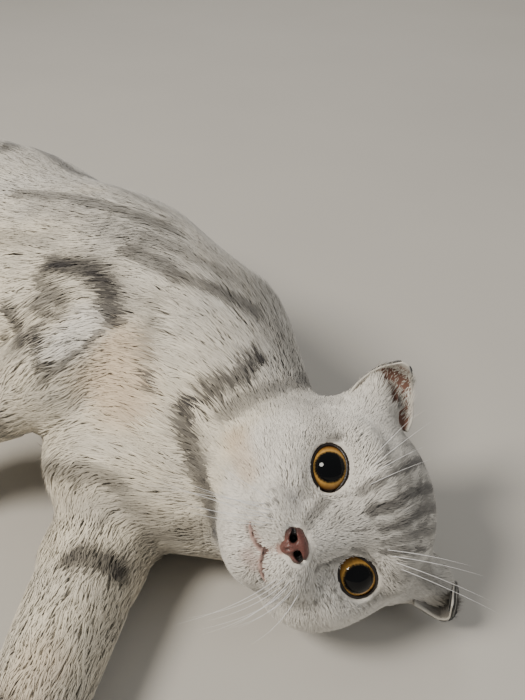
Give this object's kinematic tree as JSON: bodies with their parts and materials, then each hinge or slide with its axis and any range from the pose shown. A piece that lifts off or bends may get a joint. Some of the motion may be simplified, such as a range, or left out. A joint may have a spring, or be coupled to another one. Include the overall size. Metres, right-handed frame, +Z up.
{
  "type": "scottish fold cat, still life-size model",
  "caption": "Silver tabby folded-ear cat lying on its left side with its face turned up, a still life-size model.",
  "frame": {"origin": "on the floor under the middle of the outline", "axes": "+Z up, -Y towards the belly side that the picture looks from, +X towards the head end"},
  "size_m": [0.4952, 0.4784, 0.1364],
  "materials": {
    "coat": "short plush silver tabby coat",
    "iris": "glossy wet eye, amber iris and round dark pupil",
    "leather": "moist brick-pink nose leather"
  },
  "bodies": {
    "root": {"head": "coat", "nose": "leather", "eye_right": "iris", "eye_left": "iris", "ear_right": "coat", "ear_left": "coat", "neck": "coat", "chest": "coat", "belly": "coat", "rump": "coat", "foreleg_right_upper": "coat", "foreleg_right_lower": "coat", "foreleg_right_paw": "coat", "foreleg_left_upper": "coat", "foreleg_left_lower": "coat", "foreleg_left_paw": "coat", "hindleg_right_thigh": "coat", "hindleg_right_shank": "coat", "hindleg_right_foot": "coat", "hindleg_left_thigh": "coat", "hindleg_left_shank": "coat", "hindleg_left_foot": "coat", "tail_base": "coat", "tail_middle": "coat", "tail_tip": "coat"}
  },
  "joints": []
}
